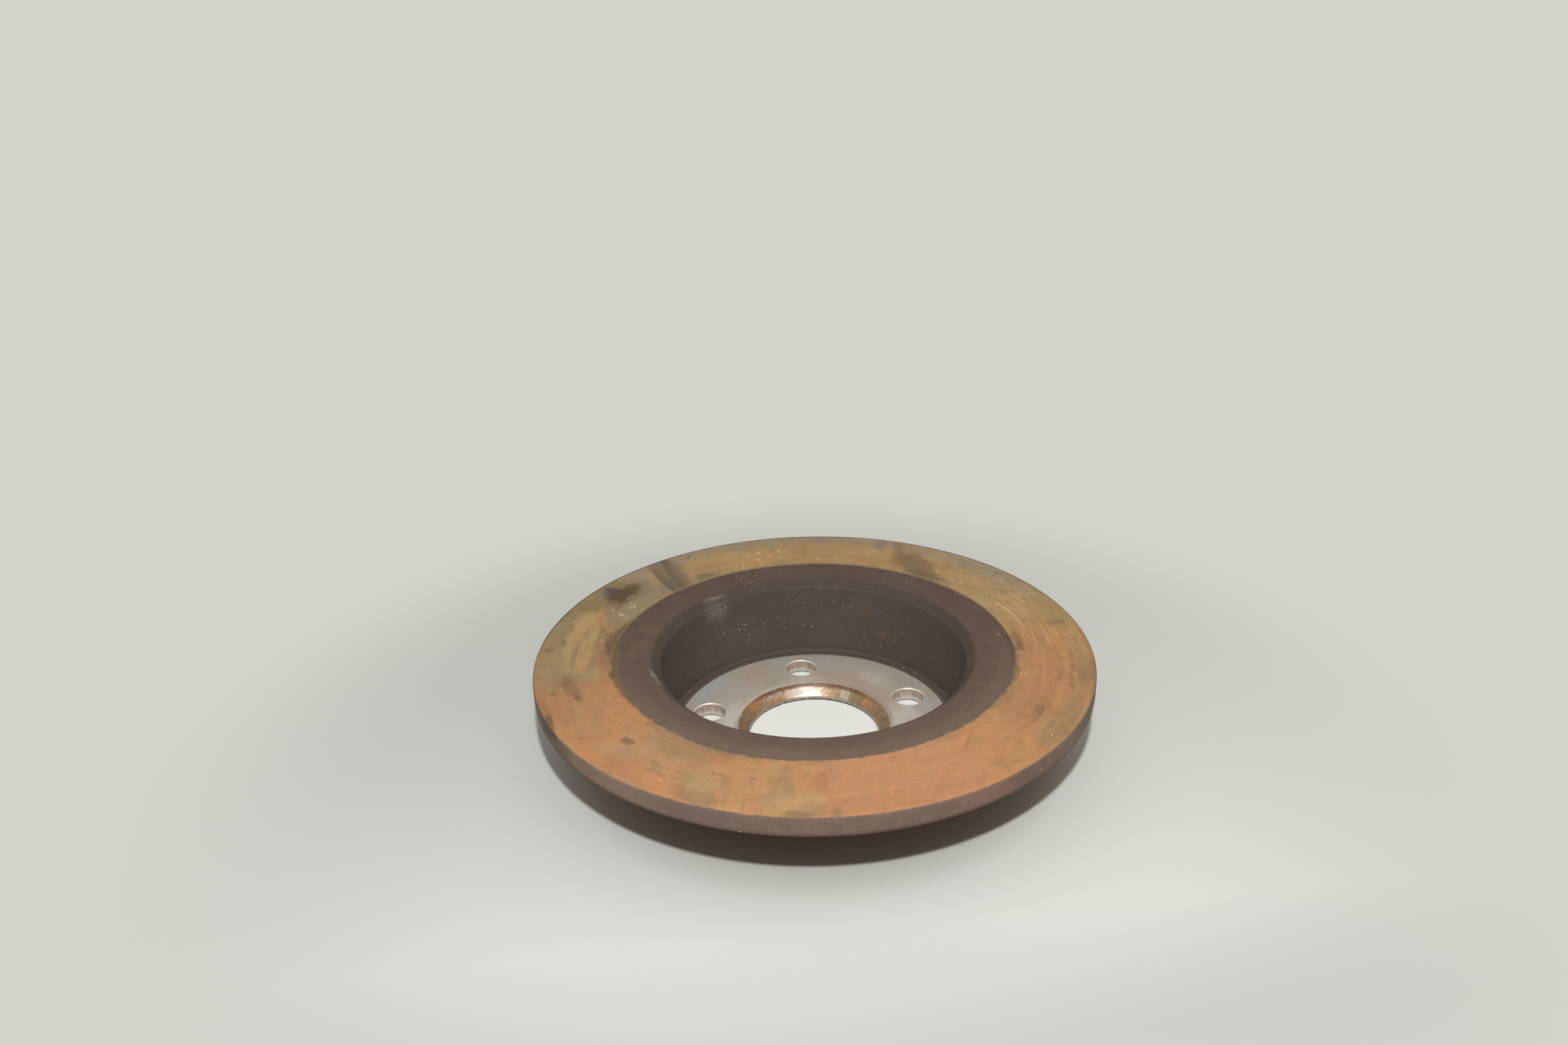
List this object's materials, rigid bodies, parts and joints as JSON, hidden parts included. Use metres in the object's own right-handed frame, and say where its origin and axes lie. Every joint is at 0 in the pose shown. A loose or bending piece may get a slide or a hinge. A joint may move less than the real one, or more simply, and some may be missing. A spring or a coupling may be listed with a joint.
{
  "type": "brake disc",
  "caption": "Solid rear brake disc for a car: a flat friction ring on a deep hat with a centring bore and a circle of bolt holes, worn and rusty.",
  "frame": {"origin": "centre of the bore at the wheel-side face, which the disc rests on", "axes": "+Z along the disc's axis, from the wheel-side face to the inboard friction face; +Y through the middle of one bolt hole"},
  "size_m": [0.268, 0.268, 0.05],
  "materials": {
    "rusty_iron": "rusted grey iron, turned on the faces"
  },
  "bodies": {
    "root": {"brake_disc": "rusty_iron"}
  },
  "joints": []
}
